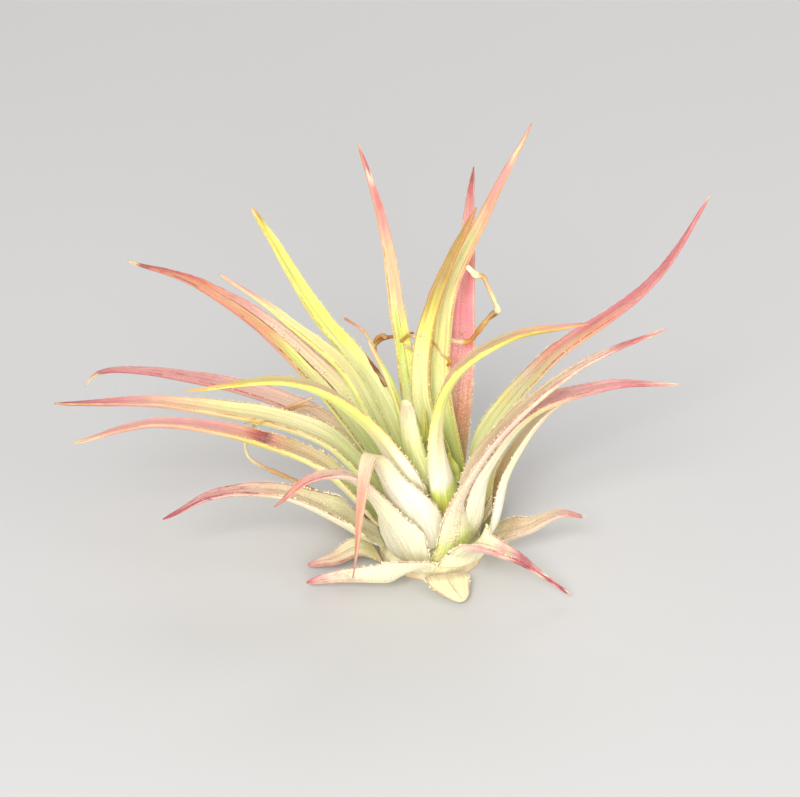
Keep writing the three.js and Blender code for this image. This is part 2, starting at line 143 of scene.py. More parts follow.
# name: the upper face from root to tip, with the per cent of its length between the colours,
# the lower face likewise, the keel that runs down the middle of the lower face, the rim, and
# the shares of speckles and of silver scurf.
TINTS = {
    "low_left": ("straw 30 cream 60 beige 82 fawn 94 rose 100 crimson",
        "straw 40 beige 80 fawn 94 rose 100 crimson", "rose", "rose", 0.35, 0.5),
    "low_front_left": ("cream 50 cream 64 beige 76 fawn 86 rose 94 crimson 100 crimson",
        "cream 50 cream 66 beige 78 fawn 88 rose 95 crimson 100 crimson", "beige", "rose", 0.6, 0.6),
    "low_front": ("beige 25 cream 93 cream 100 beige", "cream 90 cream 100 beige",
        "straw", "beige", 0.12, 0.35),
    "low_front_right": ("cream 42 cream 48 blush 52 beige 57 rose 60 crimson 67 crimson 69 rose 74 rose "
        "80 beige 83 crimson 87 rose 90 crimson 95 wine 97 cream 100 cream",
        "cream 30 cream 36 blush 43 rose 50 beige 58 crimson 66 wine 70 rose 76 beige 82 crimson 87 rose "
        "92 crimson 96.5 wine 98 cream 100 cream", "beige", "crimson", 0.45, 0.6),
    "low_right": ("cream 22 tan 38 beige 66 beige 80 mauve 90 rose 95.5 wine 97.5 straw 100 straw",
        "cream 30 beige 60 beige 80 fawn 90 salmon 96 wine 97.5 straw 100 straw", "beige", "mauve", 0.9, 0.6),
    "low_back_right": ("cream 50 beige 90 rose 100 crimson", "cream 50 beige 100 rose",
        "beige", "rose", 0.3, 0.6),
    "low_back": ("cream 50 beige 85 rose 100 crimson", "cream 50 beige 100 rose", "beige", "rose", 0.3, 0.6),
    "low_back_left": ("cream 50 tan 85 rose 100 crimson", "cream 50 beige 100 rose",
        "beige", "rose", 0.3, 0.6),
    "arching_left": ("cream 30 cream 46 beige 60 fawn 74 rose 86 rose 95 crimson 100 wine",
        "cream 35 cream 56 beige 70 fawn 84 rose 95 crimson 100 wine", "beige", "crimson", 0.9, 0.65),
    "arching_front_left": ("cream 50 beige 68 fawn 84 rose 90 salmon 95 russet 100 brown",
        "white 35 cream 55 beige 70 fawn 84 rose 90 salmon 95 russet 100 brown", "cream", "rose", 0.5, 0.7),
    "sheath_front_right": (
        "cream 30 beige 50 tan 72 beige 84 fawn 87.5 crimson 93 crimson 95.5 beige 100 rose",
        "straw 8 lime 15 cream 28 beige 42 beige 52 fawn 62 beige 72 beige 82 fawn 87.5 crimson 93 crimson "
        "95.5 beige 100 rose", "beige", "rose", 1.4, 0.6),
    "outer_right": ("olive 30 ochre 60 beige 100 beige", "cream 20 white 45 cream 80 beige 100 tan",
        "cream", "white", 0.3, 0.6),
    "outer_back_right": ("cream 50 beige 90 rose 100 crimson", "cream 60 beige 100 rose",
        "beige", "rose", 0.3, 0.6),
    "outer_back": ("cream 40 straw 70 peach 90 rose 100 crimson", "cream 40 beige 75 rose 100 crimson",
        "beige", "rose", 0.35, 0.55),
    "outer_back_left": ("cream 40 straw 75 peach 100 crimson", "cream 50 beige 80 rose 100 crimson",
        "beige", "rose", 0.35, 0.55),
    "lower_long_left": ("lime 20 mist 30 beige 38 tan 43 salmon 46 wine 48.5 red 52 salmon 60 rose 90 rose "
        "96 salmon 100 straw", "cream 30 straw 50 gold 60 peach 70 salmon 90 rose 96 beige 100 straw",
        "gold", "peach", 0.45, 0.35),
    "drooping_front": ("cream 50 straw 64 beige 74 salmon 84 coral 100 russet",
        "white 30 white 52 cream 62 straw 69 peach 75 salmon 83 coral 91 red 96 crimson 100 maroon",
        "coral", "beige", 0.3, 0.3),
    "red_right": ("cream 25 beige 33 rose 40 rose 60 rose 76 rose 86 pink 91 rose 96.5 beige 100 straw",
        "cream 20 white 42 cream 56 straw 64 peach 71 rose 82 pink 88 crimson 93 rose 96.5 beige 100 straw",
        "cream", "rose", 0.4, 0.5),
    "inner_back_right": ("lime 50 straw 100 beige", "cream 60 straw 100 peach", "cream", "rose", 0.2, 0.5),
    "back_pink": ("tan 18 tan 28 salmon 38 rose 46 candy 58 candy 75 pink 86 rose 93 crimson 100 maroon",
        "cream 30 beige 50 rose 80 pink 100 maroon", "rose", "beige", 1.0, 0.45),
    "back_left_pink": ("lime 25 beige 40 fawn 62 rose 84 rose 91 pink 93 crimson 94.5 straw 100 cream",
        "cream 30 beige 58 rose 80 pink 90 crimson 92.5 wine 94.5 straw 100 cream",
        "rose", "rose", 0.3, 0.35),
    "upper_long_left": ("lime 18 mist 30 cream 54 straw 68 peach 77 rose 86 pink 91 crimson 96 wine 100 wine",
        "cream 30 cream 45 straw 60 straw 70 peach 80 rose 87 crimson 95 wine 100 wine",
        "gold", "peach", 0.2, 0.35),
    "long_right": ("mist 22 mist 30 straw 37 beige 45 salmon 56 pink 90 pink 97 crimson 99 straw 100 straw",
        "cream 25 lime 40 gold 55 apricot 68 rose 80 pink 95 pink 98 crimson 100 straw",
        "apricot", "rose", 0.25, 0.35),
    "inner_back": ("lime 60 straw 100 peach", "cream 60 straw 100 peach", "cream", "peach", 0.2, 0.45),
    "big_front_left": ("cream 30 lime 42 beige 60 tan 85 brass 95 apricot 100 coral",
        "white 30 white 42 straw 50 lemon 80 lemon 92 gold 97 salmon 100 coral", "lemon", "gold", 0.08, 0.25),
    # In yellow_right's lower face, the brass band at about a sixth of its length is the sheath's own olive
    # colour darkened with painted shade from the leaves above it.
    "yellow_right": ("cream 30 straw 42 beige 55 peach 75 tan 88 apricot 95 rose 100 crimson",
        "lime 10 brass 16.5 lime 19.5 white 40 straw 50 lemon 72 lemon 82 brass 90 khaki 95 rose 100 crimson",
        "lemon", "gold", 0.06, 0.25),
    "broad_coral": (
        "lime 15 mist 27 mist 40 beige 58 fawn 66 rose 76 coral 88 red 94 wine 97 wine 98.5 straw 100 straw",
        "cream 25 lime 38 gold 48 apricot 60 coral 85 coral 92 red 97 wine 98.5 straw 100 straw",
        "apricot", "salmon", 1.0, 0.3),
    "tall_right": ("lime 25 mist 42 straw 56 straw 67 straw 72 peach 78 salmon 83 rose 87 rose 90 beige "
        "95 tan 97.5 rose 100 crimson",
        "cream 25 lime 42 lemon 56 straw 67 straw 72 peach 78 salmon 83 rose 87 rose 90 beige 95 tan "
        "97.5 rose 100 crimson", "peach", "apricot", 0.12, 0.3),
    "blunt_front": ("lime 60 cream 100 beige", "lime 25 mist 50 mist 80 cream 95 beige 100 cream",
        "cream", "straw", 0.12, 0.5),
    "thin_left": ("lime 20 mist 38 mist 50 straw 78 straw 88 rose 100 rose",
        "cream 25 lime 50 lemon 75 lemon 84 peach 92 rose 100 pink", "lemon", "straw", 0.1, 0.3),
    "tall_back": ("lime 25 mist 36 lime 47 lime 53 straw 58 peach 70 peach 76 rose 80 pink 87.5 pink "
        "89.5 fawn 91 fawn 92.5 crimson 97 crimson 98.5 tan 100 straw",
        "lime 45 lime 60 straw 66 peach 75 rose 90 pink 97 crimson 100 straw",
        "apricot", "peach", 0.15, 0.35),
    "yellow_left": ("lime 20 mist 34 mist 48 lemon 90 lemon 97 ochre 100 tan",
        "lime 30 lime 45 lemon 92 lemon 98 apricot 100 tan", "lemon", "straw", 0.05, 0.25),
    "olive_right": ("lime 25 mist 45 straw 53 lemon 64 brass 74 khaki 86 khaki 95 sienna 100 sienna",
        "lime 30 lime 48 lemon 58 brass 70 khaki 88 khaki 95 sienna 100 sienna", "gold", "ochre", 0.08, 0.25),
    "heart_left": ("green 20 lime 80 lime 92 apricot 100 salmon",
        "lime 40 lime 75 straw 90 apricot 100 salmon", "lime", "straw", 0.08, 0.3),
    "heart_right": ("green 60 lime 100 gold", "lime 60 lime 100 gold", "lime", "straw", 0.08, 0.3),
    "heart_back": ("green 60 lime 100 gold", "green 60 lime 100 gold", "lime", "straw", 0.08, 0.3),
    "heart_front": ("green 60 lime 100 gold", "green 60 lime 100 gold", "lime", "straw", 0.08, 0.3),
}

# The dark colour, by the rim's colour, of the thin broken line along a rim, which the leaf has,
# and of the painted shade along the crease of the channel.
LINE_AND_CREASE_SHADE_COLOURS = {
    "white": "dust", "straw": "bronze", "peach": "sienna", "beige": "dust", "apricot": "sienna",
    "gold": "sienna", "ochre": "sienna", "salmon": "brown", "rose": "russet", "mauve": "russet",
    "crimson": "wine",
}

# How strongly that colour also stains the outer half of a leaf in blotches.
BLOTCHES = {"crimson": 0.7, "rose": 0.45, "mauve": 0.45, "salmon": 0.3, "peach": 0.2}
FEW_BLOTCHES = 0.1

# Leaves with one flank of another colour: 1 for the flank that lies anticlockwise of the
# midrib, seen from above, or -1, how far from the midrib it starts, how softly, whether it
# shows on the lower face too, and its colours. The harder its start, the darker the painted
# shade along the crease where it starts.
FLANKS = {
    "tall_back": (-1, 0.0, 0.06, True,
        "lime 30 lime 45 lemon 52 peach 70 peach 76 rose 80 pink 87.5 pink 89.5 fawn 91 fawn 92.5 crimson "
        "97 crimson 98.5 tan 100 straw"),
    "olive_right": (1, 0.3, 0.4, True,
        "lime 25 mist 44 straw 52 lemon 58 brass 66 khaki 90 khaki 96 sienna 100 sienna"),
    "tall_right": (-1, 0.62, 0.12, True,
        "lime 35 straw 50 straw 58 peach 68 peach 76 salmon 83 rose 87 rose 91 beige 95 tan 97.5 rose "
        "100 crimson"),
    "broad_coral": (1, -0.22, 0.05, False,
        "lime 25 mist 40 straw 48 lemon 56 apricot 68 apricot 85 coral 92 red 97 wine 98.5 straw 100 straw"),
    "long_right": (-1, 0.1, 0.1, True,
        "mist 30 mist 38 straw 46 peach 54 apricot 62 salmon 76 pink 90 pink 97 crimson 99 straw 100 straw"),
    "yellow_left": (1, 0.3, 0.2, True, "lime 20 mist 38 mist 60 lemon 95 gold 100 tan"),
    "upper_long_left": (1, 0.45, 0.1, True,
        "lime 30 mist 50 straw 64 peach 77 rose 88 crimson 95 wine 100 wine"),
}


def hue(name):
    """A named colour as linear light."""
    code = HUES[name]
    shares = [int(code[i : i + 2], 16) / 255 for i in (0, 2, 4)]
    return [s / 12.92 if s <= 0.04045 else ((s + 0.055) / 1.055) ** 2.4 for s in shares]


def stops(text):
    """'cream 50 rose' as [(0, colour), (0.5, colour)]."""
    first, *rest = text.split()
    return [(0, hue(first))] + [(float(at) / 100, hue(name)) for at, name in zip(rest[::2], rest[1::2])]


def blend(text, shares):
    """The colours that such a text gives at the shares."""
    table = stops(text)
    at = [t for t, _ in table]
    return np.stack([np.interp(shares, at, [c[k] for _, c in table]) for k in range(3)], -1)


# ---- curves and bodies


def smooth(x, start, end):
    x = np.clip((np.asarray(x, float) - start) / (end - start), 0, 1)
    return x * x * (3 - 2 * x)


def mix(a, b, share):
    return a + (b - a) * share


def unit(v):
    return v / np.linalg.norm(v, axis=-1, keepdims=True)


def curve_through(points):
    """Dense places on the centripetal curve through the points."""
    p = np.array(points, float)
    p = np.vstack([2 * p[0] - p[1], p, 2 * p[-1] - p[-2]])
    share = np.linspace(0, 1, SPAN_STEPS, endpoint=False)[:, None]
    spans = []
    for a, b, c, d in zip(p, p[1:], p[2:], p[3:]):
        ab, bc, cd = (np.sum((y - x) ** 2) ** 0.25 for x, y in ((a, b), (b, c), (c, d)))
        start = ((b - a) / ab - (c - a) / (ab + bc) + (c - b) / bc) * bc
        end = ((c - b) / bc - (d - b) / (bc + cd) + (d - c) / cd) * bc
        bend, twist = 3 * (c - b) - 2 * start - end, 2 * (b - c) + start + end
        spans.append(b + share * start + share**2 * bend + share**3 * twist)
    return np.vstack(spans + [p[-2:-1]])


def walk(points, shares):
    """Places and directions on the curve at shares of its length, and that length."""
    dense = curve_through(points)
    steps = np.linalg.norm(np.diff(dense, axis=0), axis=1)
    travelled = np.concatenate([[0], np.cumsum(steps)])
    at = np.asarray(shares) * travelled[-1]
    headings = unit(np.gradient(dense, travelled, axis=0))
    place = np.stack([np.interp(at, travelled, dense[:, k]) for k in range(3)], -1)
    heading = np.stack([np.interp(at, travelled, headings[:, k]) for k in range(3)], -1)
    return place, unit(heading), travelled[-1]


def add_object(name, data):
    added = bpy.data.objects.new(name, data)
    scene.collection.objects.link(added)
    return added


def mesh_object(name, verts, faces, material=None, edges=()):
    mesh = bpy.data.meshes.new(name)
    mesh.from_pydata([tuple(v) for v in verts], edges, [tuple(int(i) for i in f) for f in faces])
    mesh.update()
    mesh.polygons.foreach_set("use_smooth", [True] * len(mesh.polygons))
    if material:
        mesh.materials.append(material)
    return add_object(name, mesh)


def tube_faces(rows, sides):
    """Quads between rings of vertices. The ends are left open."""
    i, j = np.meshgrid(np.arange(rows), np.arange(sides), indexing="ij")
    a = i * sides + j
    b = i * sides + (j + 1) % sides
    return np.stack([a, a + sides, b + sides, b], -1).reshape(-1, 4)


def give_map(piece, corners, loose):
    """Lays the skin map on the sides. The corners of the loose caps stay at zero."""
    layer = piece.data.uv_layers.new(name="skin", do_init=False)
    corners = np.vstack([corners.reshape(-1, 2), np.zeros((loose, 2))])
    layer.uv.foreach_set("vector", corners.astype(np.float32).ravel())


def give(piece, **layers):
    """Hands numbers, vectors or colours with their opacity to a piece's vertices."""
    kinds = {1: ("FLOAT", "value"), 3: ("FLOAT_VECTOR", "vector"), 4: ("FLOAT_COLOR", "color")}
    for name, values in layers.items():
        values = np.asarray(values, np.float32).reshape(len(values), -1)
        kind, field = kinds[values.shape[1]]
        layer = piece.data.attributes.new(name, kind, "POINT")
        layer.data.foreach_set(field, values.ravel())


def opaque(colours):
    return np.hstack([colours, np.ones((len(colours), 1))])


class Blade:
    """One leaf as rings of places: its upper face from edge to edge, then its lower face."""

    def __init__(self, name, rng):
        tier, heading, lean, sheath, blade, taper, path, *extra = LEAVES[name]
        extra = extra[0] if extra else {}
        heading, lean = math.radians(heading), math.radians(lean)
        seat = SEAT_RADIUS - SEAT_RADIUS_STEP * tier
        height = SEAT_HEIGHT + SEAT_HEIGHT_STEP * tier - extra.get("drop", 0)
        roll = math.radians(extra.get("roll", 0))
        t = self.share = np.linspace(0, 1, ROWS + 1)
        centre, tangent, across, length = self.midrib(heading, lean, seat, height, roll, path)
        inward = np.cross(tangent, across)

        steepest = math.radians(STEEPEST_WRAP)
        wrap = min(sheath / 2 / (seat / math.cos(min(lean, steepest))), math.radians(CHANNEL_FOLD))
        fold = math.radians(extra.get("fold", CHANNEL_FOLD))
        free = smooth(t, 0, SHEATH_ENDS)
        flare = (sheath - blade) * (1 - free)
        belly = extra.get("belly", 0) * smooth(t, 0, BELLY_AT) * (1 - smooth(t, BELLY_AT, BELLY_ENDS))
        width = np.maximum(TIP_WIDTH, blade * (1 - t) ** taper + flare + belly)
        half = mix(mix(wrap, fold, free), math.radians(TIP_FOLD), smooth(t, CHANNEL_OPENS, 1))
        middle = mix(mix(SHEATH_THICK, BLADE_THICK, free), TIP_THICK, smooth(t, BLADE_THINS, 1))
        middle = middle * mix(1, TIP_THINNING, smooth(t, TIP_THINS, 1))

        waving = smooth(t, WAVES_START, WAVES_FULL)
        sway, ripple, lift, swell = (
            waving * far * np.sin(TURN * t * length / wave + phase)
            for (far, wave), phase in zip(WAVES.values(), rng.uniform(0, TURN, len(WAVES)))
        )
        centre = centre + across * (sway + ripple)[:, None] + inward * lift[:, None]
        width = width * (1 + swell)

        side = np.sin(np.linspace(-1, 1, COLUMNS + 1) * math.pi / 2)
        edge = np.abs(side)
        ragged = rng.uniform(-1, 1, (ROWS + 1, 2)) * np.minimum(RAGGED_EDGE, RAGGED_SHARE * width)[:, None]
        ragged = np.where(side < 0, ragged[:, :1], ragged[:, 1:])
        angle = half[:, None] * side * (1 + ragged * edge**8 / (width / 2)[:, None])
        radius = (width / 2 / half)[:, None]
        thick = mix(middle[:, None], np.minimum(EDGE_THICK, middle)[:, None], side**2)
        thick = thick * np.sqrt(1 - edge**10)

        def ring(r):
            up = (radius - r * np.cos(angle))[..., None] * inward[:, None]
            return centre[:, None] + up + (r * np.sin(angle))[..., None] * across[:, None]

        upper, lower = ring(radius - thick / 2), ring(radius + thick / 2)
        rings = np.concatenate([upper, lower[:, -2:0:-1]], axis=1) * MM
        self.sides = rings.shape[1]
        self.verts = rings.reshape(-1, 3)
        self.edges = rings[:, [0, COLUMNS]]
        along_edge, over = across * np.cos(half)[:, None], inward * np.sin(half)[:, None]
        self.outward = np.stack([over - along_edge, over + along_edge], 1)
        self.along = tangent

        # Each vertex knows how far it is from the midrib, how far along, and on which face.
        off_midrib = np.concatenate([side, side[-2:0:-1]])
        is_lower = np.concatenate([[0.5], np.zeros(COLUMNS - 1), [0.5], np.ones(COLUMNS - 1)])
        place = np.broadcast_arrays(off_midrib, t[:, None], is_lower)
        self.place = np.stack(place, -1).reshape(-1, 3)

        # The skin map is in centimetres, across and along.
        self.faces = tube_faces(ROWS, self.sides)
        row, column = np.divmod(np.arange(len(self.faces)), self.sides)
        girth = np.concatenate([side, 2 - side[-2::-1]]) * blade / 2
        down, up = t[row] * length, t[row + 1] * length
        left, right = girth[column], girth[column + 1]
        corners = [(left, down), (left, up), (right, up), (right, down)]
        self.map = np.stack([np.stack(corner, -1) for corner in corners], 1) / 10

    def midrib(self, heading, lean, seat, height, roll, path):
        """Its places, its directions, the ways across the leaf, and its length."""
        outward = np.array([math.cos(heading), math.sin(heading), 0])
        root = outward * seat
        root[2] = height
        leaving = outward * math.sin(lean) + np.array([0, 0, math.cos(lean)])
        path = [root, root + leaving * STRAIGHT_START, *path]
        centre, tangent, length = walk(path, self.share)
        to = math.atan2(path[-1][1] - root[1], path[-1][0] - root[0])
        turn = math.atan2(math.sin(to - heading), math.cos(to - heading))
        turned = smooth(self.share, 0, FACING_ENDS)
        facing = heading + turn * turned
        across = np.stack([-np.sin(facing), np.cos(facing), np.zeros_like(facing)], -1)
        across = unit(across - tangent * np.sum(across * tangent, 1, keepdims=True))
        roll = (roll * turned)[:, None]
        return centre, tangent, across * np.cos(roll) + np.cross(tangent, across) * np.sin(roll), length

    def caps(self):
        """The closing faces at the root and at the tip."""
        ends = []
        for start, flip in ((0, False), (ROWS * self.sides, True)):
            for j in range(COLUMNS):
                near, far = (self.sides - j) % self.sides, self.sides - j - 1
                loop = [start + v for v in dict.fromkeys((j, j + 1, far, near))]
                ends.append(loop[::-1] if flip else loop)
        return ends


# ---- finishes

# Cells a metre in the noise of speckles, of the patches that they gather in, and of scurf.
SPECKLE_CELLS, PATCH_CELLS, SCURF_CELLS = 4600.0, 420.0, 4200.0
UNEVENNESS = 0.16  # how far along the leaf its colours reach into each other
# How strong the painted shade along a channel's crease is: full where a flank starts this hard or harder, and
# this much on leaves without a flank.
SOFTEST_FULL_CREASE_SHADE = 0.05
PLAIN_CREASE_SHADE = 0.5


def group(name, inputs, outputs):
    """A group of nodes, its wires, and its sockets, which are listed by kind."""
    tree = bpy.data.node_groups.new(name, "ShaderNodeTree")
    kinds = {"value": "NodeSocketFloat", "colour": "NodeSocketColor", "vector": "NodeSocketVector"}
    for way, sockets in (("INPUT", inputs), ("OUTPUT", outputs)):
        for kind, labels in sockets.items():
            for label in labels:
                tree.interface.new_socket(label, in_out=way, socket_type=kinds[kind])
    given = tree.nodes.new("NodeGroupInput").outputs
    return tree, Wires(tree), given, tree.nodes.new("NodeGroupOutput").inputs


class Wires:
    """Short ways to add and join nodes in one tree."""

    def __init__(self, tree):
        self.tree = tree

    def set(self, sockets, values):
        for label, value in values.items():
            socket = sockets[label]
            if isinstance(value, bpy.types.NodeSocket):
                self.tree.links.new(value, socket)
            elif socket.type == "RGBA":
                socket.default_value = (*value, 1)
            else:
                socket.default_value = value

    def node(self, kind, inputs=None, **settings):
        node = self.tree.nodes.new(kind)
        for key, value in settings.items():
            setattr(node, key, value)
        self.set(node.inputs, inputs or {})
        return node

    def math(self, operation, a, b=0.0):
        return self.node("ShaderNodeMath", {0: a, 1: b}, operation=operation).outputs[0]

    def plus(self, a, b):
        return self.math("ADD", a, b)

    def minus(self, a, b):
        return self.math("SUBTRACT", a, b)

    def times(self, first, *others):
        for other in others:
            first = self.math("MULTIPLY", first, other)
        return first

    def attribute(self, name, output):
        return self.node("ShaderNodeAttribute", attribute_name=name).outputs[output]

    def skin(self):
        return self.node("ShaderNodeUVMap", uv_map="skin").outputs["UV"]

    def here(self):
        return self.node("ShaderNodeTexCoord").outputs["Object"]

    def parts(self, vector):
        return self.node("ShaderNodeSeparateXYZ", {0: vector}).outputs

    def step(self, value, start, end, low=0.0, high=1.0):
        inputs = {"Value": value, "From Min": start, "From Max": end, "To Min": low, "To Max": high}
        return self.node("ShaderNodeMapRange", inputs, interpolation_type="SMOOTHSTEP").outputs["Result"]

    def mix(self, a, b, share):
        return self.node("ShaderNodeMix", {0: share, 6: a, 7: b}, data_type="RGBA").outputs[2]

    def noise(self, vector, scale, detail, rough=0.5):
        inputs = {"Vector": vector, "Scale": scale, "Detail": detail, "Roughness": rough}
        return self.node("ShaderNodeTexNoise", inputs).outputs["Fac"]

    def grain(self, skin, across, along, detail, rough=0.5):
        """Noise with so many cells across and along each unit of the skin map."""
        cells = self.node("ShaderNodeVectorMath", {0: skin, 1: (across, along, 1)}, operation="MULTIPLY")
        return self.noise(cells.outputs[0], 1.0, detail, rough)

    def bump(self, height, strength, depth):
        inputs = {"Strength": strength, "Distance": depth * MM, "Height": height}
        return self.node("ShaderNodeBump", inputs).outputs["Normal"]

    def ramp(self, along, text):
        node = self.node("ShaderNodeValToRGB", {"Fac": along})
        table = stops(text)
        elements = node.color_ramp.elements
        while len(elements) < len(table):
            elements.new(0.5)
        for element, (at, colour) in zip(elements, table):
            element.position = at
            element.color = (*colour, 1)
        return node.outputs["Color"]


def new_material(name):
    """A material, its wires, and the sockets of its surface."""
    material = bpy.data.materials.new(name)
    material.use_nodes = True
    tree = material.node_tree
    return material, Wires(tree), tree.nodes["Principled BSDF"].inputs


def ripening_group():
    """Shifts a place along the leaf, so that its colours meet in uneven tongues."""
    tree, w, given, out = group(
        "ripening", {"value": ["Along", "Unevenness"], "vector": ["Skin"]}, {"value": ["Along"]}
    )
    tongues = w.times(w.grain(given["Skin"], 5, 0.9, 3.0, 0.6), 0.6)
    patches = w.times(w.grain(given["Skin"], 1.6, 1.2, 1.0), 0.4)
    shift = w.times(w.minus(w.plus(tongues, patches), 0.5), given["Unevenness"])
    w.set(out, {"Along": w.plus(given["Along"], shift)})
    return tree


def leaf_skin_group():
    """A leaf's surface: its two faces, keel, painted shade along the crease, blotches, veins, speckles, scurf
    and rim.
    """
    tree, w, given, out = group(
        "leaf skin",
        {
            "colour": ["Upper", "Lower", "Keel", "Rim", "Line", "Speckle", "Silver"],
            "value": [
                "Keel share", "Rim share", "From crease", "Crease shade share", "Blotches", "Speckles", "Scurf",
            ],
            "vector": ["Place", "Skin", "Object"],
        },
        {"colour": ["Colour"], "value": ["Roughness", "Height"]},
    )
    skin, here, from_crease, silver = (given[k] for k in ("Skin", "Object", "From crease", "Silver"))
    off_midrib, along, is_lower = w.parts(given["Place"])
    off_midrib = w.math("ABSOLUTE", off_midrib)
    lower = w.step(is_lower, 0.3, 0.7)
    colour = w.mix(given["Upper"], given["Lower"], lower)
    keel = w.times(w.step(off_midrib, 0.75, 0.1), lower, given["Keel share"])
    colour = w.mix(colour, given["Keel"], keel)

    breaks = w.grain(skin, 3, 2.2, 3.0, 0.7)
    # Painted shade: a darker broken line along the crease of the channel, faint on the lower face.
    crease_shade = w.times(w.step(from_crease, 0.085, 0.03), w.step(breaks, 0.4, 0.54, 0.2, 1.0))
    crease_shade = w.times(crease_shade, w.minus(1.0, w.times(lower, 0.8)))
    crease_shade = w.times(crease_shade, w.step(along, 0.15, 0.4), given["Crease shade share"])
    colour = w.mix(colour, given["Line"], crease_shade)

    blotches = w.times(w.step(w.grain(skin, 6, 4.5, 3.0, 0.7), 0.52, 0.6), w.step(along, 0.45, 0.75))
    colour = w.mix(colour, given["Line"], w.times(blotches, given["Blotches"]))

    veins = w.grain(skin, 42, 1.1, 2.0, 0.6)
    broad = w.grain(skin, 11, 0.6, 1.0)
    shade = w.plus(w.step(veins, 0.3, 0.7, -0.17, 0.08), w.step(broad, 0.3, 0.7, -0.12, 0.06))
    shaded = {"Value": w.plus(shade, 1.0), "Color": colour}
    colour = w.node("ShaderNodeHueSaturation", shaded).outputs["Color"]

    where = w.noise(here, PATCH_CELLS, 2.0)
    specks = w.times(w.step(w.noise(here, SPECKLE_CELLS, 1.0), 0.55, 0.63), w.step(where, 0.36, 0.56))
    specks = w.times(specks, w.step(from_crease, 0.1, 0.6, 1.0, 0.35))
    colour = w.mix(colour, given["Speckle"], w.times(specks, given["Speckles"]))

    cells = w.node("ShaderNodeTexVoronoi", {"Vector": here, "Scale": SCURF_CELLS}).outputs
    bare = w.plus(w.minus(1.0, given["Scurf"]), w.step(where, 0.3, 0.7, 0.15, -0.15))
    kept = w.math("GREATER_THAN", w.parts(cells["Color"])[0], bare)
    flakes = w.times(w.step(cells["Distance"], 0.5, 0.25), kept, w.step(along, 0.3, 0.6, 1.0, 0.12))
    colour = w.mix(colour, silver, w.times(flakes, 0.45))
    bloom = w.times(w.step(where, 0.25, 0.75), given["Scurf"], 0.22)
    colour = w.mix(colour, silver, bloom)

    rim = w.times(w.step(off_midrib, 0.86, 0.97), given["Rim share"])
    colour = w.mix(colour, given["Rim"], rim)
    line = w.times(w.step(off_midrib, 0.945, 0.98), w.step(breaks, 0.42, 0.56, 0.2, 0.85))
    w.set(out, {
        "Colour": w.mix(colour, given["Line"], line),
        "Roughness": w.plus(w.times(flakes, 0.2), 0.55),
        "Height": w.plus(w.times(flakes, 0.7), w.times(veins, 0.6)),
    })
    return tree


def leaf_material(name, ripening, skin):
    upper, lower, keel, rim, speckles, scurf = TINTS[name]
    material, w, surface = new_material("skin of " + name.replace("_", " "))
    place, around = w.attribute("place", "Vector"), w.skin()
    from_crease, along, _ = w.parts(place)
    uneven = {"Along": along, "Skin": around, "Unevenness": UNEVENNESS}
    shifted = w.node("ShaderNodeGroup", uneven, node_tree=ripening).outputs["Along"]
    upper, lower = w.ramp(shifted, upper), w.ramp(shifted, lower)
    # How strong the painted shade along the crease is; weaker where a flank starts softly.
    crease_shade_share = PLAIN_CREASE_SHADE
    if name in FLANKS:
        side, start, soft, lower_too, colours = FLANKS[name]
        crease_shade_share = min(1.0, SOFTEST_FULL_CREASE_SHADE / soft)
        from_crease = w.minus(w.times(from_crease, side), start)
        flank = w.step(from_crease, -soft, soft)
        speckles = w.times(w.step(flank, 0.0, 1.0, 1.0, 0.2), speckles)
        colours = w.ramp(shifted, colours)
        upper = w.mix(upper, colours, flank)
        if lower_too:
            lower = w.mix(lower, colours, flank)
    face = w.node(
        "ShaderNodeGroup",
        {
            "Upper": upper, "Lower": lower, "Keel": hue(keel), "Rim": hue(rim), "Line": hue(LINE_AND_CREASE_SHADE_COLOURS[rim]),
            "Keel share": w.step(along, 0.4, 0.8, 0.0, 0.45),
            "Rim share": w.step(along, 0.15, 0.5, 0.1, 0.55),
            "From crease": w.math("ABSOLUTE", from_crease), "Crease shade share": crease_shade_share,
            "Blotches": BLOTCHES.get(rim, FEW_BLOTCHES), "Speckle": hue("dust"), "Speckles": speckles,
            "Silver": hue("white"), "Scurf": scurf, "Place": place, "Skin": around, "Object": w.here(),
        },
        node_tree=skin,
    ).outputs
    w.set(surface, {
        "Base Color": face["Colour"], "Roughness": face["Roughness"], "Specular IOR Level": 0.35,
        "Normal": w.bump(face["Height"], 0.7, 0.06), "Sheen Weight": 0.15, "Sheen Roughness": 0.5,
        "Subsurface Weight": 0.2, "Subsurface Radius": (0.8, 0.5, 0.25), "Subsurface Scale": 1.0 * MM,
    })
    return material


def scale_material():
    """The dry scales: silver, with some of the colour of the leaf that they lie on."""
    material, w, surface = new_material("silver scales")
    share = w.step(w.noise(w.here(), 900.0, 2.0), 0.35, 0.65, 0.15, 0.6)
    colour = w.mix(w.attribute("tint", "Color"), hue("white"), share)
    w.set(surface, {"Base Color": colour, "Roughness": 0.75, "Specular IOR Level": 0.3})
    return material


# ---- scales, by rule


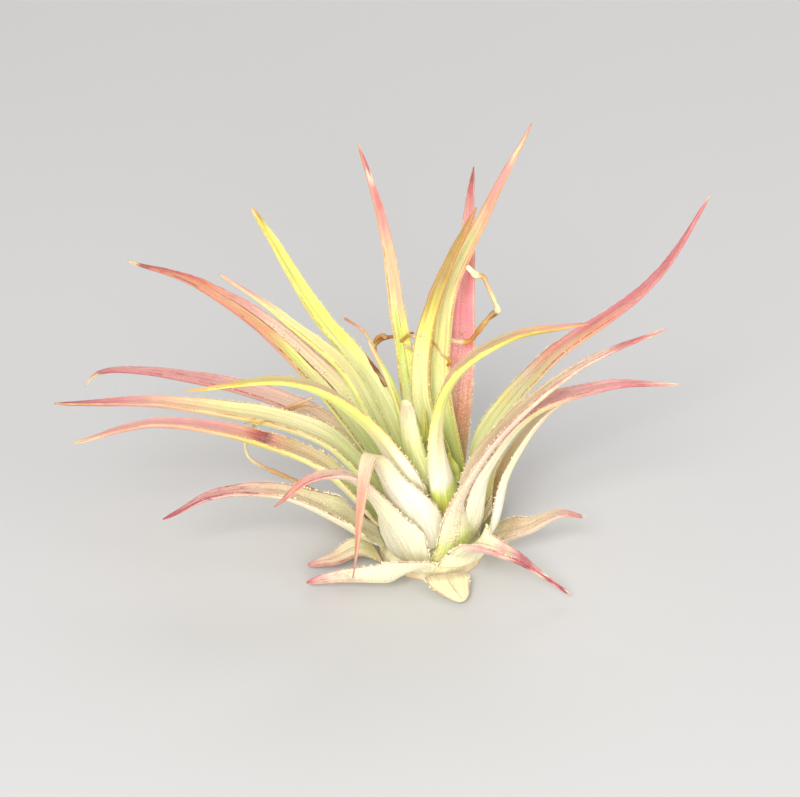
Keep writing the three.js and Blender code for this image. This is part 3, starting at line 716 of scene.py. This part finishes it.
def scale_tree(name, on_faces):
    """Grows small scales along margins, or scattered over faces."""
    tree = bpy.data.node_groups.new(name, "GeometryNodeTree")
    w = Wires(tree)
    amount = "Scales a square metre" if on_faces else "Spacing"
    numbers = (amount, "Radius", "Height", "Flatness", "Smallest", "Largest", "Tilt")
    kinds = {"Geometry": "Geometry", **dict.fromkeys(numbers, "Float"), "Material": "Material"}
    for label, kind in kinds.items():
        tree.interface.new_socket(label, in_out="INPUT", socket_type="NodeSocket" + kind)
    tree.interface.new_socket("Geometry", in_out="OUTPUT", socket_type="NodeSocketGeometry")
    given = tree.nodes.new("NodeGroupInput").outputs

    def named(label, kind):
        return w.node("GeometryNodeInputNamedAttribute", {"Name": label}, data_type=kind).outputs["Attribute"]

    def random(kind, inputs):
        return w.node("FunctionNodeRandomValue", inputs, data_type=kind).outputs

    density = named("cover", "FLOAT")
    if on_faces:
        rate = w.times(density, given[amount])
        inputs = {"Mesh": given["Geometry"], "Density": rate, "Seed": 11}
        spread = w.node("GeometryNodeDistributePointsOnFaces", inputs)
        points, out = spread.outputs["Points"], spread.outputs["Normal"]
        chosen = True
    else:
        line = w.node("GeometryNodeMeshToCurve", {"Mesh": given["Geometry"]}).outputs["Curve"]
        inputs = {"Curve": line, "Length": given[amount]}
        points = w.node("GeometryNodeResampleCurve", inputs, mode="LENGTH").outputs["Curve"]
        out = named("outward", "FLOAT_VECTOR")
        chosen = random("BOOLEAN", {"Probability": density, "Seed": 5})[3]
    inputs = {
        "Vertices": 5, "Side Segments": 1, "Fill Segments": 1,
        "Radius Top": 0.0, "Radius Bottom": given["Radius"], "Depth": given["Height"],
    }
    cone = w.node("GeometryNodeMeshCone", inputs, fill_type="NGON").outputs["Mesh"]
    flat = w.node("ShaderNodeCombineXYZ", {0: 1.0, 1: given["Flatness"], 2: 1.0}).outputs[0]
    shape = w.node("GeometryNodeTransform", {"Geometry": cone, "Scale": flat}).outputs["Geometry"]
    facing = w.node("FunctionNodeAlignRotationToVector", {"Vector": out}, axis="Z").outputs["Rotation"]
    spun = w.node("ShaderNodeCombineXYZ", {0: given["Tilt"], 1: given["Tilt"], 2: math.pi}).outputs[0]
    back = w.node("ShaderNodeVectorMath", {0: spun, "Scale": -1.0}, operation="SCALE").outputs[0]
    lean = random("FLOAT_VECTOR", {0: back, 1: spun, "Seed": 7})[0]
    lean = w.node("FunctionNodeEulerToRotation", {0: lean}).outputs[0]
    facing = w.node("FunctionNodeRotateRotation", {0: facing, 1: lean}, rotation_space="LOCAL").outputs[0]
    size = random("FLOAT", {2: given["Smallest"], 3: given["Largest"], "Seed": 3})[1]
    size = w.times(size, named("size", "FLOAT"))
    inputs = {"Points": points, "Selection": chosen, "Instance": shape, "Rotation": facing, "Scale": size}
    placed = w.node("GeometryNodeInstanceOnPoints", inputs).outputs["Instances"]
    real = w.node("GeometryNodeRealizeInstances", {"Geometry": placed}).outputs["Geometry"]
    inputs = {"Geometry": real, "Material": given["Material"]}
    done = w.node("GeometryNodeSetMaterial", inputs).outputs["Geometry"]
    tree.links.new(done, tree.nodes.new("NodeGroupOutput").inputs["Geometry"])
    return tree


def grow(name, host, tree, values):
    """Runs the tree on the host and keeps what it makes as a plain mesh."""
    modifier = host.modifiers.new("scales", "NODES")
    modifier.node_group = tree
    sockets = {s.name: s.identifier for s in tree.interface.items_tree if s.in_out == "INPUT"}
    for label, value in values.items():
        modifier[sockets[label]] = value
    evaluated = host.evaluated_get(bpy.context.evaluated_depsgraph_get())
    mesh = bpy.data.meshes.new_from_object(evaluated)
    host.modifiers.remove(modifier)
    bpy.data.objects.remove(host)
    mesh.name = name
    for layer in [a.name for a in mesh.attributes if a.name in ("cover", "size", "outward")]:
        mesh.attributes.remove(mesh.attributes[layer])
    return add_object(name, mesh)


# ---- the leaves

rng = np.random.default_rng(20)
ripening, skin = ripening_group(), leaf_skin_group()
blades = {}
for name in LEAVES:
    blade = blades[name] = Blade(name, rng)
    caps = blade.caps()
    material = leaf_material(name, ripening, skin)
    piece = mesh_object(name + "_blade", blade.verts, [*blade.faces, *caps], material)
    give(piece, place=blade.place)
    give_map(piece, blade.map, sum(map(len, caps)))
    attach(piece, "root")
    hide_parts("leaf_" + name)

# ---- the scurf of scales

silver = scale_material()

# Along both edges of each leaf. The scales are smaller and sparser towards its tip.
verts, edges, outward, size, cover, tint = [], [], [], [], [], []
for name, blade in blades.items():
    scurf = TINTS[name][5]
    lower = opaque(blend(TINTS[name][1], blade.share))
    for side in range(2):
        start = len(verts)
        verts.extend(blade.edges[:, side])
        edges.extend((start + i, start + i + 1) for i in range(ROWS))
        outward.extend(unit(blade.outward[:, side] * 0.8 + blade.along * 0.6))
        size.extend(mix(1.0, 0.4, smooth(blade.share, 0.3, 0.8)) * (0.55 + 0.6 * scurf))
        cover.extend(mix(0.95, 0.45, smooth(blade.share, 0.4, 1)) * (0.45 + 0.6 * scurf))
        tint.extend(lower)
host = mesh_object("margins", verts, [], edges=edges)
give(host, outward=outward, size=size, cover=cover, tint=tint)
fringe = grow("margin_scales", host, scale_tree("margin scales", False), {
    "Spacing": 0.14 * MM, "Radius": 0.11 * MM, "Height": 0.36 * MM, "Flatness": 0.45,
    "Smallest": 0.35, "Largest": 1.3, "Tilt": 0.75, "Material": silver,
})

# Over the faces, thick on the sheaths and all but gone from the outer half of a leaf.
verts = np.vstack([blade.verts for blade in blades.values()])
first = np.cumsum([0] + [len(blade.verts) for blade in blades.values()])
faces = np.vstack([blade.faces + start for blade, start in zip(blades.values(), first)])
host = mesh_object("skins", verts, faces)
along = np.concatenate([blade.place[:, 1] for blade in blades.values()])
scurf = np.concatenate([np.full(len(blade.verts), TINTS[name][5]) for name, blade in blades.items()])
thinning = mix(1.4, 0.03, smooth(along, 0.2, 0.55))
tint = []
for name, blade in blades.items():
    upper, lower = (blend(TINTS[name][face], blade.place[:, 1]) for face in range(2))
    tint.append(np.where(blade.place[:, 2:] < 0.5, upper, lower))
cover = scurf * np.minimum(1, scurf * 1.6) * thinning
size = mix(1.0, 0.5, smooth(along, 0.4, 1))
give(host, cover=cover, size=size, tint=opaque(np.vstack(tint)))
scatter = grow("face_scales", host, scale_tree("face scales", True), {
    "Scales a square metre": 2.2e6, "Radius": 0.085 * MM, "Height": 0.045 * MM, "Flatness": 0.8,
    "Smallest": 0.45, "Largest": 1.2, "Tilt": 0.35, "Material": silver,
})
for piece in (fringe, scatter):
    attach(piece, "root")

# ---- stem and dry threads

# name: thickness at the start and at the end, colours from start to end, and the path.
THREADS = {
    "dry_thread_left": (0.3, 0.6, "sienna 12 rose 28 beige 50 cream 58 ochre 70 brown 85 ochre 100 brown",
        [(-11, 5.6, 31.2), (-9.1, 6.4, 29.4), (-7.9, 7.6, 27.2), (-7.3, 9, 25.4), (-6.4, 10.8, 25.4),
        (-4.3, 10.8, 25.8), (-2.2, 9.4, 26.9)]),
    "dry_thread_right": (0.7, 0.6,
        "cream 14 beige 17 ochre 26 sienna 42 ochre 52 brown 55 cream 66 straw 78 tan 86 ochre 90 cream "
        "100 white", [(1.85, 8.2, 27.1), (3, 8.9, 26.1), (4.8, 9.2, 25.9), (5.4, 9.1, 26.6), (6.6, 8.8, 28.6),
        (7.6, 8.6, 30), (8.3, 8.4, 30.8), (7.9, 8.2, 32.2), (7, 8.1, 34.5), (6.4, 8, 35.8), (5.6, 8, 36),
        (4.3, 9, 36.8)]),
    "bare_root": (0.6, 0.4, "brown 30 sienna 50 tan 60 cream 70 tan 85 sienna 100 beige", [(-6.1, 2.1, 2.8),
        (-7.2, 2.4, 3.2), (-12, 2.6, 5.6), (-18.2, 3, 9.2), (-21.8, 4.2, 10.3), (-23.6, 5.4, 11.1),
        (-24, 6.6, 12.6), (-22.8, 6.8, 14.8), (-20.4, 6.4, 16.8), (-17.6, 6.2, 18.2), (-15, 6.4, 19.3)]),
}
# Finer strands that lie against the leaves, too thin to be nodes of their own.
STRANDS = {
    "strand_before_tall_leaf": (0.4, 0.5, "sienna 30 ochre 60 beige 100 cream", [(-3.9, 8.1, 26.4),
        (-3, 7.6, 27.6), (-2.2, 6.4, 28.2), (-1, 4.5, 29.3)]),
    "strand_below_it": (0.35, 0.4, "beige 50 fawn 80 cream 100 cream", [(-3.5, 7.8, 26), (-2.6, 6.8, 26.2),
        (-2, 5, 26.7), (-1.4, 3.6, 26.8)]),
    "strand_by_root": (0.25, 0.22, "sienna 40 ochre 70 tan 100 beige", [(-18.4, 6.1, 17.2),
        (-17.2, 6.2, 17.9), (-16, 6.3, 18.1), (-15, 6.4, 17.8), (-13.9, 6.5, 17.7)]),
    "strand_between_left_leaves": (0.2, 0.2, "ochre 40 gold 70 ochre 100 sienna", [(-23.6, -1, 19.7),
        (-22.6, -1, 20), (-21.9, -1, 19.6), (-20.9, -0.8, 20), (-19.7, -0.6, 19.6)]),
    "curl_behind_tall_leaf": (0.35, 0.5, "tan 30 ochre 60 sienna 100 tan", [(-7.1, 9.6, 24.1),
        (-7.2, 9.6, 24.9), (-7.2, 9.8, 25.6), (-6.7, 10, 26.2), (-6.2, 10.2, 26.2), (-5.7, 10.4, 25.7)]),
    "dry_bract_behind_heart": (0.1, 0.8, "ochre 30 brown 100 brown", [(-8.4, 6.8, 25.7), (-7.9, 6, 25),
        (-7.2, 4.6, 24.6), (-6.4, 3.2, 24.1), (-5.6, 2.2, 23.3)]),
    "strand_by_yellow_leaf": (0.25, 0.4, "ochre 40 beige 80 ochre 100 brown", [(0.2, 6.9, 27),
        (0.8, 6.7, 26.3), (1.3, 6.2, 25.6), (2.4, 5.2, 25.2), (1.9, 5.1, 24.6)]),
}
THREAD_ROWS, THREAD_SIDES = 150, 10
WITHERING = [(0.1, 1.9), (0.07, 4.3)]  # share of the thickness, and its wave's turns in radians a mm
KNOT_EVERY, KNOT_AT, KNOT_LENGTH, KNOT_SWELL = 6.5, 3.2, 0.5, 0.25
FLATTENED, FLAT_TURNS = 0.14, 9
END_LENGTH, END_SHARE = 0.4, 0.25  # a thread narrows to this share over its last bit


def dry_grain_group():
    """Shrunken plant fibre: ridges that run along it, pale rubbed crests, dark pits."""
    inputs = {"colour": ["Dark", "Light", "Pale"], "value": ["Rubbed"], "vector": ["Skin", "Object"]}
    tree, w, given, out = group("dry grain", inputs, {"colour": ["Colour"], "value": ["Height"]})
    ridges = w.grain(given["Skin"], 30, 1.5, 3.0, 0.6)
    lengths = w.grain(given["Skin"], 0.5, 2.2, 1.0)
    pits = w.noise(given["Object"], 1500.0, 2.0)
    colour = w.mix(given["Dark"], given["Light"], w.step(ridges, 0.35, 0.6))
    colour = w.mix(colour, given["Pale"], w.times(w.step(lengths, 0.48, 0.6), given["Rubbed"]))
    colour = w.mix(colour, given["Dark"], w.times(w.step(pits, 0.6, 0.68), 0.6))
    w.set(out, {"Colour": colour, "Height": w.plus(ridges, w.times(pits, 0.5))})
    return tree


def dry_material(name, grain, dark, colours, rubbed):
    material, w, surface = new_material(name)
    light = w.ramp(w.attribute("along", "Fac"), colours)
    inputs = {
        "Dark": w.mix(light, hue(dark), 0.5), "Light": light, "Pale": hue("cream"), "Rubbed": rubbed,
        "Skin": w.skin(), "Object": w.here(),
    }
    face = w.node("ShaderNodeGroup", inputs, node_tree=grain).outputs
    w.set(surface, {
        "Base Color": face["Colour"], "Normal": w.bump(face["Height"], 0.8, 0.08),
        "Roughness": 0.7, "Specular IOR Level": 0.3,
    })
    return material


def tube(name, places, directions, radii, material):
    """A closed tube through the places, with its rings carried along without twist."""
    rows, sides = radii.shape
    normal = unit(np.cross(directions[0], [0.3, 0.2, 1.0]))
    angle = np.linspace(0, TURN, sides, endpoint=False)[:, None]
    rings = []
    for place, direction, radius in zip(places, directions, radii):
        normal = unit(normal - direction * np.dot(normal, direction))
        other = np.cross(direction, normal)
        rings.append(place + radius[:, None] * (np.cos(angle) * normal + np.sin(angle) * other))
    body = tube_faces(rows - 1, sides)[:, ::-1]
    ends = [list(range(sides))[::-1], list(range((rows - 1) * sides, rows * sides))]
    piece = mesh_object(name, np.vstack(rings) * MM, [*body, *ends], material)
    # The map has turns round the tube, and centimetres along it, by the straight way to its end.
    row, column = np.divmod(np.arange(len(body)), sides)
    step = np.linalg.norm(places[-1] - places[0]) / rows
    u = np.stack([column + 1, column + 1, column, column], 1) / sides
    v = np.stack([row, row + 1, row + 1, row], 1) * step / 10
    give_map(piece, np.stack([u, v], -1), 2 * sides)
    give(piece, along=np.repeat(np.linspace(0, 1, rows), sides))
    return piece


dry_grain = dry_grain_group()
bark = dry_material("stem bark", dry_grain, "tan", "beige 10 cream 100 cream", 0.6)

share = np.linspace(0, 1, THREAD_ROWS)
angle = np.linspace(0, TURN, THREAD_SIDES, endpoint=False)
for name, (thick, end_thick, colours, path) in {**THREADS, **STRANDS}.items():
    places, directions, length = walk(path, share)
    travelled = share * length
    *phases, flat_phase = rng.uniform(0, TURN, 3)
    wither = 1 + sum(deep * np.sin(travelled * turns + at) for (deep, turns), at in zip(WITHERING, phases))
    knots = KNOT_SWELL * np.exp(-((travelled % KNOT_EVERY - KNOT_AT) / KNOT_LENGTH) ** 2)
    flat = 1 + FLATTENED * np.cos(2 * angle + share[:, None] * FLAT_TURNS + flat_phase)
    close = np.minimum(1, np.sqrt(np.minimum(share, 1 - share) * length / END_LENGTH) + END_SHARE)
    radii = (mix(thick, end_thick, share) / 2 * (wither + knots) * close)[:, None] * flat
    fibre = dry_material("fibre of " + name.replace("_", " "), dry_grain, "sienna", colours, 0.25)
    piece = tube(name + "_fibre", places, directions, radii, fibre)
    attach(piece, "root")
    if name in THREADS:
        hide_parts(name)

# The stem: rings of old leaf scars on a stub that narrows to the heart.
STEM_PROFILE = [(6.75, 0), (6.85, 1.4), (0.9, 11.9), (0.45, 13.3)]  # radius and height
STEM_ROWS, STEM_SIDES = 60, 72
SCAR_DEPTH, SCAR_EVERY = 0.12, 1.5
STEM_RIBS = [(0.06, 17, 2.1), (0.05, 29, -1)]  # depth, how many, and their twist a millimetre
BARK_INSET, FOOT_EDGE, THINNEST_STEM = 0.1, 0.4, 0.3
outline, levels = zip(*STEM_PROFILE)
heights = np.linspace(0, levels[-1], STEM_ROWS)
angle = np.linspace(0, TURN, STEM_SIDES, endpoint=False)
scars = SCAR_DEPTH * np.abs(np.sin(heights * math.pi / SCAR_EVERY))[:, None]
ribs = sum(deep * np.sin(angle * count + heights[:, None] * twist) for deep, count, twist in STEM_RIBS)
inset = (scars + ribs + BARK_INSET) * smooth(heights, 0, FOOT_EDGE)[:, None]
radii = np.maximum(THINNEST_STEM, np.interp(heights, levels, outline)[:, None] - inset)
places = np.stack([np.zeros(STEM_ROWS), np.zeros(STEM_ROWS), heights], -1)
stem = tube("stem_bark", places, np.tile([0.0, 0.0, 1.0], (STEM_ROWS, 1)), radii, bark)
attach(stem, "root")
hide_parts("stem")

# ---- stage, light and camera

FLOOR_HALF = 3
PLANT_MIDDLE = Vector((-0.004, 0, 0.02))
pale, w, surface = new_material("plain floor")
w.set(surface, {"Base Color": (0.56, 0.56, 0.57), "Roughness": 0.9, "Specular IOR Level": 0.2})
corners = [(x * FLOOR_HALF, y * FLOOR_HALF, 0) for x, y in ((-1, -1), (1, -1), (1, 1), (-1, 1))]
floor = mesh_object("floor", corners, [(0, 1, 2, 3)], pale)


def softbox(name, place, size, power, colour):
    """A round light that faces the plant's middle."""
    light = bpy.data.lights.new(name, "AREA")
    light.shape = "DISK"
    light.size = size
    light.energy = power
    light.color = colour
    lamp = add_object(name, light)
    lamp.location = place
    lamp.rotation_euler = (PLANT_MIDDLE - Vector(place)).to_track_quat("-Z", "Y").to_euler()


softbox("key", (-0.14, -0.5, 0.42), 0.26, 3.2, (1.0, 0.985, 0.95))
softbox("front", (0.03, -0.5, 0.14), 0.26, 1.3, (1.0, 0.99, 0.96))
softbox("fill", (0.5, -0.3, 0.3), 0.4, 1.1, (1.0, 0.99, 0.96))
softbox("back", (0.1, 0.5, 0.45), 0.4, 1.3, (1.0, 1.0, 1.0))

world = bpy.data.worlds.new("studio")
world.use_nodes = True
room = world.node_tree.nodes["Background"].inputs
Wires(world.node_tree).set(room, {"Color": (1.0, 0.98, 0.94), "Strength": 0.5})
scene.world = world
scene.view_settings.view_transform = "Standard"

AIM, DISTANCE, ELEVATION = Vector((-0.004, 0, 0.0228)), 0.32, math.radians(30)
camera = bpy.data.cameras.new("camera")
camera.sensor_width = 36
camera.lens = 115.2
camera.clip_start = 0.01
eye = add_object("camera", camera)
eye.location = AIM + DISTANCE * Vector((0, -math.cos(ELEVATION), math.sin(ELEVATION)))
eye.rotation_euler = (math.radians(90) - ELEVATION, 0, 0)
scene.camera = eye
